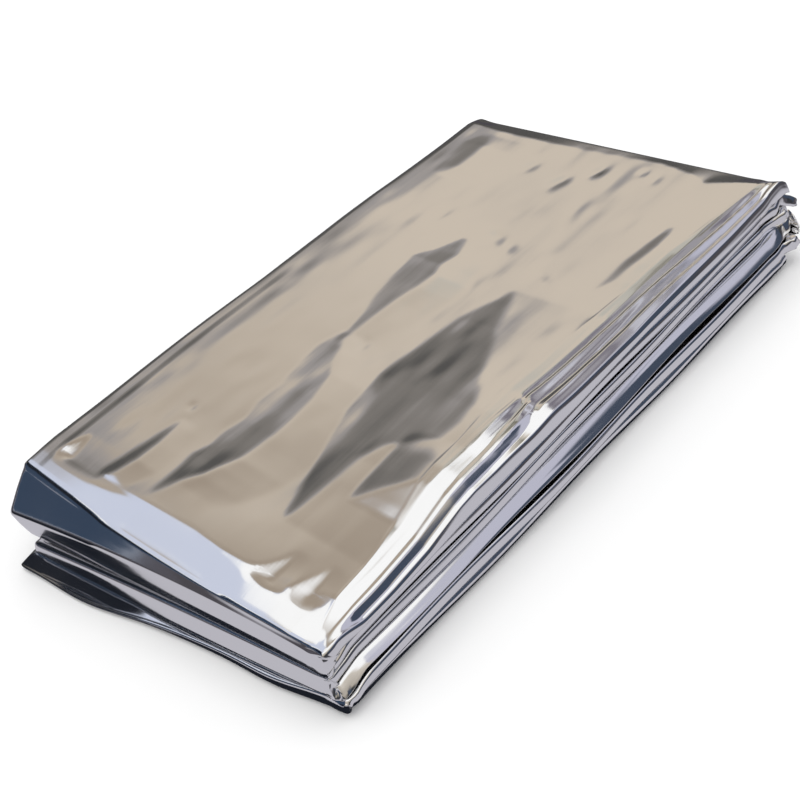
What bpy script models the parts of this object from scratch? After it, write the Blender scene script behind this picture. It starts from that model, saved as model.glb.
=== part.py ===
"""Emergency foil blanket, folded to its pocket size.

One sheet of metallised film, folded lengthwise into a narrow band of plies and then back and forth
across, so that it lies as six layers, a little apart. The layers are joined in turn by three folds
at the near short end (-X) and two at the far short end (+X). The pack is measured from its near
right corner: x along it, y from its right long side (-Y) to its left, and z up from the ground.
"""

import math
from collections import namedtuple

import bmesh
import bpy

MM = 0.001

# Driving sizes of the folded pack, in millimetres
PACK_LENGTH = 148.0
PACK_WIDTH = 87.5
HEIGHT_NEAR_RIGHT = 14.8
HEIGHT_NEAR_LEFT = 21.3
HEIGHT_FAR_RIGHT = 19.2
HEIGHT_FAR_LEFT = 21.3
CROWN = 1.4  # how far the top layer swells above the line between its edges
SHOULDER = 10.0  # width of the strip over which the top layer turns down to an edge

# Each layer is a band of plies
LAYER_THICKNESS = 2.6
LAYER_GAP = 0.45
WAVE = 0.35  # how far the layers rise and fall out of level, together
# Over these lengths the near folds squeeze the lower layers together, at the pack's right and left
PINCH_LENGTH_RIGHT = 6.5
PINCH_LENGTH_LEFT = 16.0
TOP_COLUMNS = 30
# Places along the lower layers, closest where the near folds squeeze them
LAYER_COLUMNS = (3.2, 5.2, 7.4, 9.8, 12.4, 15.6, 30.0, 58.0, 102.0)
FIRST_STEP = 0.8

# The long edges are folds too, so each layer thins to a rounded rim there
RIM = 2.2
RIM_ROWS = ((0.0, 0.34), (0.32, 0.78), (1.0, 1.0))  # share of RIM from the edge, share of thickness
RIM_DROOP = 0.8  # how far the top layer's rim hangs down
BROAD_ROWS = 15
RIPPLE = 0.4  # the long edges wander this far in and out
RIPPLE_RATE = 0.11  # radians of that wandering for each millimetre along

# Shares are of the local height of the pack. The next four columns are how far the layer stands
# out past the pack's long sides. The last two are its place among the seams at the near end.
Layer = namedtuple(
    "Layer",
    "name floor_share top_share right_near right_far left_near left_far floor_seam top_seam",
)
LAYERS = (
    Layer("top", 0.84, 1.00, 0.0, 0.2, 1.1, 1.9, 0.0, 0.0),
    Layer("second", 0.67, 0.84, -0.9, -0.4, 1.3, 0.4, 2.0, 3.0),
    Layer("third", 0.51, 0.67, -0.3, -0.7, 0.3, -0.3, 1.5, 2.0),
    Layer("fourth", 0.37, 0.51, -0.6, -0.4, -0.6, -0.8, 1.0, 1.5),
    Layer("fifth", 0.17, 0.34, 1.6, 2.6, 0.8, 0.4, 0.5, 1.0),
    Layer("bottom", 0.0, 0.17, 0.8, 1.7, 0.2, -0.5, 0.0, 0.5),
)
LEFT_SWELL = 0.7  # how far the left long side bows out in its middle

# At the near end the lower layers close up in pairs. These are the heights there of the lines
# between the pairs, at the pack's right side, middle and left side.
Seam = namedtuple("Seam", "name right middle left")
SEAMS = (
    Seam("ground", 0.0, 0.0, 0.0),
    Seam("over_lower_pair", 3.9, 2.1, 2.6),
    Seam("over_upper_pair", 8.4, 7.5, 5.5),
    Seam("over_second_layer", 10.4, 9.7, 7.6),
)
SEAM_GAP = 0.3

Fold = namedtuple(
    "Fold", "name near reach_right reach_middle reach_left lean_right lean_middle lean_left depth"
)
# Reach is how far the fold's upper layer stands out past the pack's short end, at three places
# across it, and lean is how much further its lower layer does.
FOLDS = (
    Fold("second_to_third", False, 3.6, 2.2, 1.2, 0.4, -0.5, 0.3, 1.8),
    Fold("third_to_fourth", True, 0.4, 4.2, 8.0, 0.2, 1.2, 1.8, 1.4),
    Fold("fourth_to_fifth", False, 4.4, 2.8, 1.6, -0.9, 0.4, -0.3, 1.9),
    Fold("fifth_to_bottom", True, 0.3, 5.8, 13.1, 0.0, 0.5, 0.9, 1.2),
)

Belly = namedtuple("Belly", "name middle_y half_width reach")
# The lowest near fold also bulges out in two places.
BELLIES = (
    Belly("left_belly", 66.0, 13.0, 1.5),
    Belly("right_belly", 18.0, 9.0, 0.8),
)
FOLD_STEPS = 5  # points round each rounded fold

Corner = namedtuple("Corner", "name x_right z_right x_middle z_middle x_left z_left inward_x inward_z")
# The top fold is a wedge with facets: these lines run across the pack, and the last two columns
# lead from each line to the inner face of the layer.
WEDGE = (
    Corner("edge", 0.4, 14.8, -1.9, 17.7, -0.8, 21.1, 2.2, -2.3),
    Corner("upper_facet", 0.0, 14.2, -3.1, 16.0, -5.1, 16.9, 2.9, -1.9),
    Corner("crease", -0.4, 13.6, -4.0, 14.4, -8.8, 12.7, 3.2, -1.6),
    Corner("lower_facet", -0.5, 11.0, -4.1, 11.0, -7.9, 9.2, 2.6, 0.4),
    Corner("foot", -0.4, 8.6, -3.8, 7.8, -7.0, 5.8, 1.5, 1.9),
)

Dent = namedtuple("Dent", "name x_start y_start x_end y_end width depth")
# Long soft troughs and ridges (negative depth) in the top layer
DENTS = (
    Dent("long_left_trough", 6.0, 57.5, 96.0, 54.0, 5.0, 1.1),
    Dent("long_right_trough", 16.0, 28.0, 99.0, 30.0, 7.0, 1.3),
    Dent("middle_ridge", 12.0, 42.5, 90.0, 43.5, 4.0, -0.6),
    Dent("near_left_trough", 5.0, 76.0, 32.0, 65.0, 3.0, 0.6),
    Dent("far_right_trough", 100.0, 14.5, 126.0, 12.5, 3.2, 0.7),
    Dent("far_left_trough", 118.0, 79.0, 142.0, 66.0, 4.0, 0.7),
)

FILM_COLOUR = (0.72, 0.71, 0.72, 1.0)
FILM_ROUGHNESS = 0.16


def mix(start, end, share):
    return start + (end - start) * share


def smooth(share):
    share = min(max(share, 0.0), 1.0)
    return share * share * (3 - 2 * share)


def across(right, middle, left, share):
    """A value given at the right side, the middle and the left side, as a curve through all three."""
    return (
        right * (1 - share) * (1 - 2 * share)
        + middle * 4 * share * (1 - share)
        + left * share * (2 * share - 1)
    )


def pack_height(x, share):
    """The height of the pack's edges, carried across it, without the crown and the dents."""
    along = min(max(x / PACK_LENGTH, 0.0), 1.0)
    near = mix(HEIGHT_NEAR_RIGHT, HEIGHT_NEAR_LEFT, share)
    far = mix(HEIGHT_FAR_RIGHT, HEIGHT_FAR_LEFT, share)
    return mix(near, far, along)


def dent_depth(dent, x, y):
    """How far one dent lowers the point: full on its line, fading to its sides and its ends."""
    run_x = dent.x_end - dent.x_start
    run_y = dent.y_end - dent.y_start
    length = math.hypot(run_x, run_y)
    along = ((x - dent.x_start) * run_x + (y - dent.y_start) * run_y) / length
    aside = ((y - dent.y_start) * run_x - (x - dent.x_start) * run_y) / length
    if not 0 < along < length:
        return 0.0
    fade = math.sin(math.pi * along / length) ** 0.7
    return dent.depth * fade * math.exp(-((aside / dent.width) ** 2))


def top_height(x, share):
    """The upper face of the top layer: swollen in the middle and turned down at all four edges."""
    y = share * PACK_WIDTH
    inset_x = min(x, PACK_LENGTH - x) / SHOULDER
    inset_y = min(y, PACK_WIDTH - y) / SHOULDER
    swell = CROWN * smooth(inset_x) * smooth(inset_y)
    dents = sum(dent_depth(dent, x, y) for dent in DENTS)
    return pack_height(x, share) + swell - dents * smooth(inset_x)


def level(height_share, x, share):
    """The height of the line between two layers, which waves a little both ways."""
    wave = math.sin(0.06 * x + 11.0 * height_share) * math.cos(5.0 * share + 7.0 * height_share)
    return pack_height(x, share) * height_share + WAVE * wave * smooth(6 * height_share)


def seam_height(place, share):
    """The height at the near end of a place among the seams: 1.5 is half way up the upper pair."""
    below = SEAMS[min(int(place), len(SEAMS) - 2)]
    above = SEAMS[min(int(place), len(SEAMS) - 2) + 1]
    low = across(below.right, below.middle, below.left, share)
    high = across(above.right, above.middle, above.left, share)
    return mix(low, high, place - SEAMS.index(below))


def layer_faces(index, x, share):
    """The lower and upper heights of a layer at one place."""
    layer = LAYERS[index]
    low = level(layer.floor_share, x, share) + LAYER_GAP / 2 if layer.floor_share else 0.0
    if index == 0:
        return low, top_height(x, share)
    high = level(layer.top_share, x, share) - LAYER_GAP / 2
    slack = max(high - low - LAYER_THICKNESS, 0.0)
    if layer.floor_share:
        low += slack / 2
        high -= slack / 2
    else:
        high -= slack
    pinch = 1 - smooth(x / mix(PINCH_LENGTH_RIGHT, PINCH_LENGTH_LEFT, share))
    near_low = seam_height(layer.floor_seam, share) + (SEAM_GAP / 2 if layer.floor_seam else 0.0)
    near_high = seam_height(layer.top_seam, share) - SEAM_GAP / 2
    return mix(low, near_low, pinch), mix(high, near_high, pinch)


def fold_reach(fold, share):
    """How far a fold's upper and lower layers stand out past the pack's short end."""
    upper = across(fold.reach_right, fold.reach_middle, fold.reach_left, share)
    if fold is FOLDS[-1]:
        y = share * PACK_WIDTH
        for belly in BELLIES:
            upper += belly.reach * math.exp(-(((y - belly.middle_y) / belly.half_width) ** 2))
    return upper, upper + across(fold.lean_right, fold.lean_middle, fold.lean_left, share)


def layer_ends(index, share):
    """Where a layer's flat run starts and ends along x, short of the folds that it runs into."""
    near, far = 0.0, PACK_LENGTH
    if index == 1:
        foot = WEDGE[-1]
        near = across(foot.x_right, foot.x_middle, foot.x_left, share) + 1.8
    if index >= 2:
        fold = FOLDS[1 if index < 4 else 3]
        near = fold.depth - fold_reach(fold, share)[index % 2]
    if 1 <= index <= 4:
        fold = FOLDS[0 if index < 3 else 2]
        far = PACK_LENGTH + fold_reach(fold, share)[1 - index % 2] - fold.depth
    if index == 5:
        far = PACK_LENGTH - mix(3.0, 1.0, share)
    return near, far


def column_places(index, near, far):
    """The places along a layer at which the section has points."""
    if index:
        return [near, max(near + FIRST_STEP, 0.0), *LAYER_COLUMNS, far]
    start = SHOULDER * 0.4
    return [mix(start, far, (step / (TOP_COLUMNS - 1)) ** 1.15) for step in range(TOP_COLUMNS)]


def layer_run(index, share):
    """The points on both faces of one layer, with its place in the stack, along the film's own way."""
    near, far = layer_ends(index, share)
    run = []
    for x in column_places(index, near, far):
        low, high = layer_faces(index, x, share)
        run.append(((x, high), (x, low), index))
    if index == 0:
        run += top_layer_end(far, share)
    if index % 2:
        return [(low, high, place) for high, low, place in run]
    return run[::-1]


def top_layer_end(far, share):
    """The top layer's far edge, rounded down to a thin rim."""
    low, high = layer_faces(0, far, share)
    middle = mix(low, high, 0.35)
    return [
        ((far + 0.9, mix(middle, high, 0.72)), (far + 0.6, low + 0.1), 0),
        ((far + 1.6, mix(middle, high, 0.1)), (far + 1.2, low + 0.35), 0),
    ]


def wedge_run(share):
    """The faceted fold that joins the top layer to the second."""
    run = []
    for step, corner in enumerate(WEDGE):
        x = across(corner.x_right, corner.x_middle, corner.x_left, share)
        z = across(corner.z_right, corner.z_middle, corner.z_left, share)
        run.append(((x, z), (x + corner.inward_x, z + corner.inward_z), step / len(WEDGE)))
    return run


def fold_run(fold, upper, share):
    """A rounded fold from one layer down to the next: half an ellipse outside, a slot's end inside."""
    end = 0 if fold.near else 1
    outward = -1 if fold.near else 1
    upper_end = layer_ends(upper, share)[end]
    lower_end = layer_ends(upper + 1, share)[end]
    upper_low, upper_high = layer_faces(upper, upper_end, share)
    lower_low, lower_high = layer_faces(upper + 1, lower_end, share)
    outer = (upper_high + lower_low) / 2, (upper_high - lower_low) / 2
    inner = (upper_low + lower_high) / 2, (upper_low - lower_high) / 2
    slot = min(inner[1], fold.depth * 0.4)
    run = []
    for step in range(1, FOLD_STEPS + 1):
        angle = math.pi * step / (FOLD_STEPS + 1)
        rise, run_out = math.cos(angle), math.sin(angle)
        place = mix(lower_end, upper_end, (1 + rise) / 2)
        outside = (place + outward * fold.depth * run_out, outer[0] + outer[1] * rise)
        inside = (place + outward * slot * run_out, inner[0] + inner[1] * rise)
        pair = (outside, inside) if fold.near else (inside, outside)
        run.append((*pair, upper + step / (FOLD_STEPS + 1)))
    return run


def section(share):
    """The whole back-and-forth section at one place across the pack, from the top layer down."""
    run = layer_run(0, share) + wedge_run(share) + layer_run(1, share)
    for upper, fold in enumerate(FOLDS, start=1):
        run += fold_run(fold, upper, share) + layer_run(upper + 1, share)
    return run


def layer_reach(layer, along):
    """How far a layer stands out past the right and left long sides, at a share of the length."""
    return mix(layer.right_near, layer.right_far, along), mix(layer.left_near, layer.left_far, along)


def side_reach(position, x):
    """The same at any place in the folds: position 1.5 is half way from the second layer to the third."""
    along = min(max(x / PACK_LENGTH, 0.0), 1.0)
    upper = layer_reach(LAYERS[int(position)], along)
    lower = layer_reach(LAYERS[min(int(position) + 1, len(LAYERS) - 1)], along)
    down = position - int(position)
    ripple = RIPPLE * math.sin(RIPPLE_RATE * x + 1.9 * position)
    swell = LEFT_SWELL * math.sin(math.pi * along)
    return mix(upper[0], lower[0], down) + ripple, mix(upper[1], lower[1], down) - ripple + swell


def row_places():
    """Each row's place across the pack, as a share of its width, and its share of the thickness."""
    rim = [(RIM * inset / PACK_WIDTH, thickness) for inset, thickness in RIM_ROWS]
    start = rim[-1][0]
    broad = [(mix(start, 1 - start, step / BROAD_ROWS), 1.0) for step in range(1, BROAD_ROWS)]
    return rim + broad + [(1 - inset, thickness) for inset, thickness in reversed(rim)]


def section_points(share, thickness):
    """The section as two lines of points in the pack's space, thinned towards its middle at a rim."""
    droop = RIM_DROOP * (1 - thickness) / (1 - RIM_ROWS[0][1])
    faces = ([], [])
    for first, second, position in section(share):
        right, left = side_reach(position, (first[0] + second[0]) / 2)
        y = mix(-right, PACK_WIDTH + left, share)
        for points, own, other in ((faces[0], first, second), (faces[1], second, first)):
            x = mix((own[0] + other[0]) / 2, own[0], thickness)
            z = mix((own[1] + other[1]) / 2, own[1], thickness)
            if position < 1:
                z -= droop
            points.append((x, y, z))
    return faces


def loft_sections(mesh_name):
    """Joins the sections into one closed skin: both faces of the film, its two ends and its two rims."""
    shape = bmesh.new()
    rings = []
    for share, thickness in row_places():
        first, second = section_points(share, thickness)
        around = first + second[::-1]
        rings.append([shape.verts.new([size * MM for size in point]) for point in around])
    count = len(rings[0])
    for ring, following in zip(rings, rings[1:]):
        for place in range(count):
            after = (place + 1) % count
            shape.faces.new((ring[place], following[place], following[after], ring[after]))
    for ring in (rings[0], rings[-1]):
        for place in range(count // 2 - 1):
            mirror = count - 1 - place
            shape.faces.new((ring[place], ring[place + 1], ring[mirror - 1], ring[mirror]))
    bmesh.ops.recalc_face_normals(shape, faces=shape.faces)
    mesh = bpy.data.meshes.new(mesh_name)
    shape.to_mesh(mesh)
    shape.free()
    return mesh


def stand_on_origin(mesh):
    """Moves the mesh so that the middle of its box's underside is the origin."""
    low = [min(vertex.co[axis] for vertex in mesh.vertices) for axis in range(3)]
    high = [max(vertex.co[axis] for vertex in mesh.vertices) for axis in range(3)]
    for vertex in mesh.vertices:
        vertex.co.x -= (low[0] + high[0]) / 2
        vertex.co.y -= (low[1] + high[1]) / 2
        vertex.co.z -= low[2]


def film_material():
    material = bpy.data.materials.new("silver_film")
    material.use_nodes = True
    shader = material.node_tree.nodes["Principled BSDF"]
    shader.inputs["Base Color"].default_value = FILM_COLOUR
    shader.inputs["Metallic"].default_value = 1.0
    shader.inputs["Roughness"].default_value = FILM_ROUGHNESS
    return material


def make_blanket(collection):
    mesh = loft_sections("foil_blanket")
    stand_on_origin(mesh)
    mesh.materials.append(film_material())
    mesh.shade_smooth()
    mesh.set_sharp_from_angle(angle=math.radians(40))
    blanket = bpy.data.objects.new("foil_blanket", mesh)
    collection.objects.link(blanket)


def clear_scene():
    for leftover in list(bpy.data.objects):
        bpy.data.objects.remove(leftover, do_unlink=True)


def main():
    clear_scene()
    collection = bpy.data.collections.new("emergency_foil_blanket")
    bpy.context.scene.collection.children.link(collection)
    make_blanket(collection)


main()
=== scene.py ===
"""Looks of the folded emergency foil blanket: one thin sheet of mirror film on the solid's folds.

Sizes are in millimetres and are measured, as in the solid, from the pack's near right corner: x along
the pack, y from its right long side to its left, z up. The film is a grid of points. Its columns run
down the back-and-forth section, from the top layer to the bottom one, and its rows run across the
pack, over the folds that were made lengthwise first.
"""

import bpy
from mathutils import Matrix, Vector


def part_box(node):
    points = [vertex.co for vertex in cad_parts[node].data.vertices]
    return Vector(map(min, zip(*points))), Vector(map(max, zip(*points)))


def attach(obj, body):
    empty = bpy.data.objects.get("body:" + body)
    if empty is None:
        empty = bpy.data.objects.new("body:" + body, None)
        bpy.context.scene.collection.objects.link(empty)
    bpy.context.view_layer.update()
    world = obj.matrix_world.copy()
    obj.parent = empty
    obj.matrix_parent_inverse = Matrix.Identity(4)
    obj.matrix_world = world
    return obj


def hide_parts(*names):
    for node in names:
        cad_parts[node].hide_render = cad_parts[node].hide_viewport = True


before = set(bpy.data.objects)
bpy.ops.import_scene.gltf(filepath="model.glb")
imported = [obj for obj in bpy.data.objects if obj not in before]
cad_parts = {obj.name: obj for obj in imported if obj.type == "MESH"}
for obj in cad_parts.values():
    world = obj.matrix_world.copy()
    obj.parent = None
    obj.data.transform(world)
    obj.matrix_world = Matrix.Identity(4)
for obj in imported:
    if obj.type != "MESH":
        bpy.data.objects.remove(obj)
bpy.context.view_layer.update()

import math
from collections import namedtuple

import bmesh
import bpy
import numpy as np
from mathutils import Matrix, Vector

MM = 0.001
NODE = "foil_blanket"

# The folded pack, as in the solid, apart from a few layers and folds that are set finer to the photo
PACK_LENGTH = 148.0
PACK_WIDTH = 87.5
HEIGHT_NEAR_RIGHT = 14.8
HEIGHT_NEAR_LEFT = 21.3
HEIGHT_FAR_RIGHT = 19.2
HEIGHT_FAR_LEFT = 21.3
LAYER_THICKNESS = 2.6
LAYER_GAP = 0.45
WAVE = 0.35  # the lines between the layers wave this far up and down
WAVE_RATE = 0.06  # radians of that waving for each millimetre along
WAVE_TURN = 5.0  # and for the whole width of the pack
WAVE_SHIFTS = (11.0, 7.0)  # radians of either from the ground up to the top
WAVE_GROWTH = 6.0  # it is full from a sixth of the height up
PINCH_LENGTH_RIGHT = 6.5
PINCH_LENGTH_LEFT = 16.0
TOP_START = 4.0  # the top layer's flat run starts this far from the near end
FOLD_SQUARENESS = 0.5  # 1 is round, less is flatter
RIM = 2.2  # width of the strip over which a layer rounds down to its long edge
RIPPLE = 0.25  # the long edges wander this far in and out
RIPPLE_RATE = 0.11  # radians of that wandering for each millimetre along
RIPPLE_SHIFT = 1.9  # radians of it from one layer to the next
NEAR_OVERHANG = 13.494  # the lowest folds reach this far past the near end
RIGHT_OVERHANG = 2.387  # and the fifth layer this far past the right side

# Shares are of the local height of the pack. The next four columns are how far the layer stands out
# past the pack's long sides. The last two are its place among the seams at the near end.
Layer = namedtuple(
    "Layer",
    "name floor_share top_share right_near right_far left_near left_far floor_seam top_seam",
)
LAYERS = (
    Layer("top", 0.84, 1.00, 0.0, 0.2, 1.1, 1.9, 0.0, 0.0),
    Layer("second", 0.67, 0.84, -0.9, -0.4, 1.3, 0.4, 2.0, 3.0),
    Layer("third", 0.51, 0.67, -0.3, -0.7, -1.6, -0.3, 1.5, 2.0),
    Layer("fourth", 0.37, 0.51, 0.3, 1.1, -2.6, -0.8, 1.0, 1.5),
    Layer("fifth", 0.17, 0.34, 1.6, 2.6, 0.8, 0.4, 0.5, 1.0),
    Layer("bottom", 0.0, 0.17, 0.8, 1.7, 0.2, -0.5, 0.0, 0.5),
)
LEFT_SWELL = 0.7  # how far the left long side bows out in its middle

# How much further out each layer's right side is at its foot than at its top, and how square it is
# there: 0 is round, 1 is flat from top to foot.
Lean = namedtuple("Lean", "near far square")
RIGHT_LEANS = (
    Lean(0.1, 0.0, 0.8),
    Lean(0.3, 0.2, 0.75),
    Lean(0.1, 0.0, 0.8),
    Lean(2.1, 2.0, 0.9),
    Lean(0.2, 0.4, 0.8),
    Lean(0.3, 0.2, 0.6),
)

# Heights at the near end of the lines between the pairs of layers that close up there
Seam = namedtuple("Seam", "name right middle left")
SEAMS = (
    Seam("ground", 0.0, 0.0, 0.0),
    Seam("over_lower_pair", 3.9, 2.3, 1.9),
    Seam("over_upper_pair", 8.4, 7.5, 5.5),
    Seam("over_second_layer", 10.4, 9.7, 7.6),
)
SEAM_GAP = 0.3

# Reach is how far the fold's upper layer stands out past the pack's short end, at three places
# across it, and lean is how much further its lower layer does.
Fold = namedtuple(
    "Fold", "name near reach_right reach_middle reach_left lean_right lean_middle lean_left depth"
)
FOLDS = (
    Fold("second_to_third", False, 3.6, 2.2, 1.2, 0.4, -0.5, 0.3, 1.8),
    Fold("third_to_fourth", True, 0.2, 3.8, 8.2, 0.9, 1.6, 0.8, 1.2),
    Fold("fourth_to_fifth", False, 4.4, 2.8, 1.6, -0.9, 0.4, -0.3, 1.9),
    Fold("fifth_to_bottom", True, 0.3, 6.2, 12.2, 0.0, -0.3, -0.6, 1.0),
)
DROOP = 0.33  # how steeply the lowest fold sinks where it stands out past the one over it
SLOT_SHARE = 0.4  # the slot inside a fold is at most this share of its depth
BOTTOM_SHORT_RIGHT = 3.0  # the bottom layer ends this far short of the far end, at its right
BOTTOM_SHORT_LEFT = 1.0
# The top layer's far lip stands out this far, and ends this far over the layer's underside.
LIP_REACH = 1.7
LIP_END = 0.5
LIP_THINNEST = 0.1

# The lowest near fold also bulges out in two places.
Belly = namedtuple("Belly", "name middle_y half_width reach")
BELLIES = (
    Belly("left_belly", 66.0, 13.0, 1.5),
    Belly("right_belly", 18.0, 9.0, 0.8),
)

# The top near fold is a wedge with facets: these lines run across the pack, and the last two columns
# lead from each line to the inner face of the layer.
Corner = namedtuple("Corner", "name x_right z_right x_middle z_middle x_left z_left inward_x inward_z")
WEDGE = (
    Corner("edge", 0.4, 14.8, -1.9, 17.7, -0.8, 21.1, 2.2, -2.3),
    Corner("upper_facet", 0.0, 14.2, -2.8, 16.4, -5.0, 17.3, 2.9, -1.9),
    Corner("crease", -0.4, 13.6, -3.7, 15.1, -8.8, 13.4, 3.2, -1.6),
    Corner("lower_facet", -0.5, 11.0, -4.1, 11.0, -8.0, 9.4, 2.6, 0.4),
    Corner("foot", -0.4, 8.6, -3.8, 7.8, -7.0, 5.8, 1.5, 1.9),
)
SECOND_START = 1.8  # the second layer's flat run starts this far from the wedge's foot

# The top layer rises from its edges to a crown, over strips whose width changes along each edge. Between
# them it is dished a little.
CROWN = 1.4
DISH = 1.2
DISH_START = 26.0  # the dish sets in over this length
Strip = namedtuple("Strip", "at width")
# The near strip starts at a share of the crown.
NearStrip = namedtuple("NearStrip", "at width start")
NEAR_STRIP = (
    NearStrip(0.0, 9.5, 0.48),
    NearStrip(6.0, 9.5, 0.48),
    NearStrip(8.0, 9.2, 0.50),
    NearStrip(9.7, 8.6, 0.56),
    NearStrip(14.6, 6.9, 0.70),
    NearStrip(20.0, 7.0, 0.70),
    NearStrip(21.8, 6.9, 0.70),
    NearStrip(24.8, 6.1, 0.72),
    NearStrip(31.0, 5.7, 0.70),
    NearStrip(39.0, 6.3, 0.63),
    NearStrip(53.5, 5.8, 0.69),
    NearStrip(68.0, 6.5, 0.82),
    NearStrip(75.0, 7.5, 0.80),
    NearStrip(87.5, 7.5, 0.78),
)
FAR_STRIP = (
    Strip(0, 2.0),
    Strip(8, 3.6),
    Strip(15.6, 6.5),
    Strip(20, 4.0),
    Strip(29.5, 1.8),
    Strip(45, 2.6),
    Strip(60, 3.6),
    Strip(75, 3.8),
    Strip(87.5, 3.0),
)
LEFT_STRIP = (
    Strip(0, 1.8),
    Strip(60, 2.2),
    Strip(110, 3.0),
    Strip(148, 3.6),
)
# The right strip comes down to the edge in pleats. Each row gives, at one place along the pack, how far
# its creases lie from the edge, and the drops are how far each one lies under the top. At the kink,
# near x = 64, the pleats shift.
Pleats = namedtuple("Pleats", "x olive top cream white line light dark")
PLEATS = (
    Pleats(0.0, 3.8, 3.4, 3.1, 1.9, 1.6, 1.3, 0.6),
    Pleats(10.0, 6.2, 5.7, 5.3, 2.8, 2.4, 1.9, 0.8),
    Pleats(20.0, 7.0, 6.4, 5.9, 3.1, 2.7, 2.1, 1.0),
    Pleats(36.0, 9.4, 8.8, 6.8, 3.8, 3.1, 2.5, 1.3),
    Pleats(50.0, 9.7, 9.2, 6.3, 4.3, 3.5, 2.7, 1.5),
    Pleats(63.0, 11.2, 10.7, 7.4, 5.5, 5.0, 3.6, 2.3),
    Pleats(64.4, 11.2, 10.8, 7.9, 6.8, 6.2, 3.9, 2.7),
    Pleats(74.0, 10.8, 10.4, 7.4, 6.2, 5.7, 3.4, 2.6),
    Pleats(88.0, 10.2, 9.7, 6.9, 5.8, 5.3, 3.0, 2.2),
    Pleats(101.0, 8.7, 8.2, 6.5, 5.2, 4.7, 2.8, 2.0),
    Pleats(117.0, 8.1, 7.7, 6.0, 4.3, 3.8, 2.1, 1.4),
    Pleats(133.0, 5.8, 5.4, 4.4, 3.3, 2.9, 1.8, 1.1),
    Pleats(148.0, 3.6, 3.4, 3.0, 2.4, 2.0, 1.4, 0.8),
)
Drops = namedtuple("Drops", "olive top cream white line light dark edge")
NEAR_DROPS = Drops(0.0, -0.05, 0.06, 0.75, 0.71, 0.82, 2.20, 2.45)
FAR_DROPS = Drops(0.0, -0.05, 0.15, 0.52, 0.24, 1.05, 0.74, 1.45)
DROPS_CHANGE = (56.0, 66.0)  # between these places, the near drops give way to the far ones

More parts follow.
